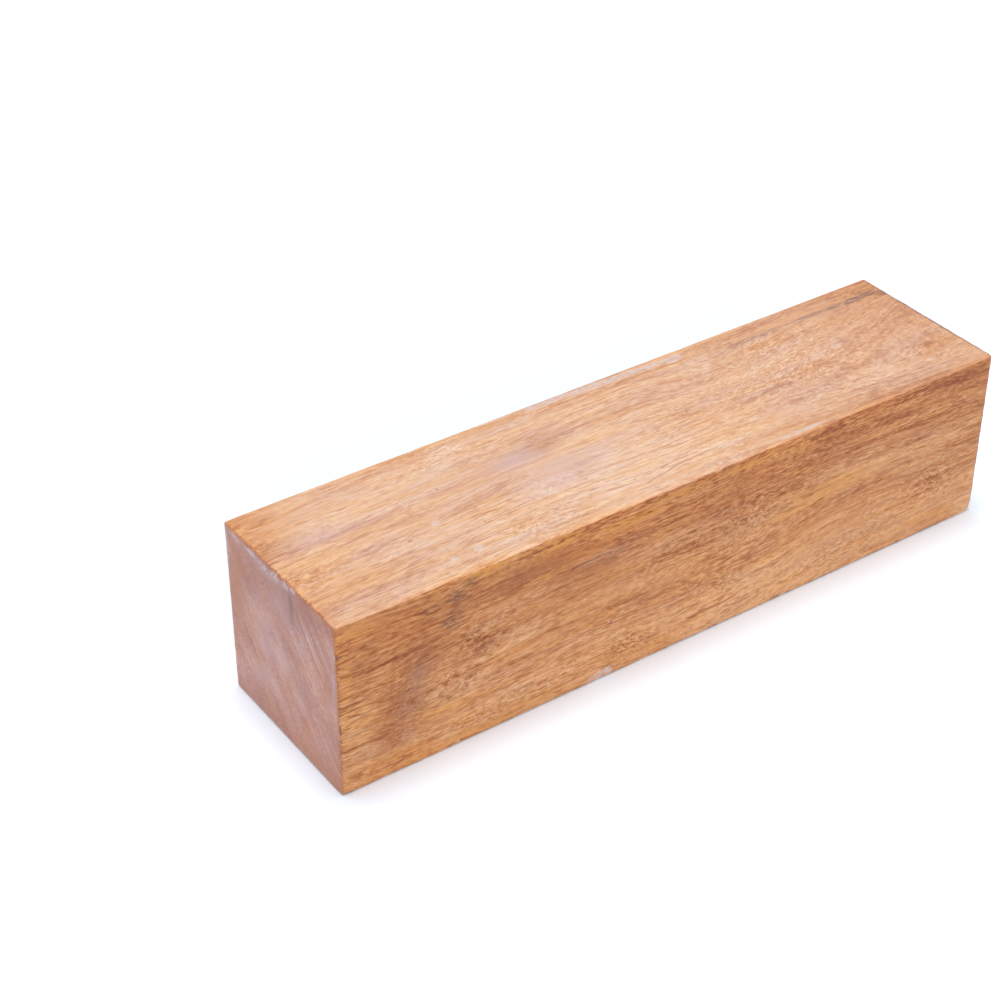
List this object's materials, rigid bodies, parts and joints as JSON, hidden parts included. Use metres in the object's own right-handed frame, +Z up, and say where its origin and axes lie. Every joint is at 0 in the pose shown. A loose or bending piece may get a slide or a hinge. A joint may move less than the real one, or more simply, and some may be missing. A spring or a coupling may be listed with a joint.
{
  "type": "wood turning blank",
  "caption": "Square stick of planed hardwood with waxed, sawn ends, to be held between a lathe's centres and turned.",
  "frame": {"origin": "centre of the underside, on the surface that the blank lies on", "axes": "+X along the grain from the near end to the far end, -Y out of the front face, +Z up"},
  "size_m": [0.305, 0.075, 0.075],
  "materials": {
    "waxed_hardwood": "satin"
  },
  "bodies": {
    "root": {"blank": "waxed_hardwood"}
  },
  "joints": []
}
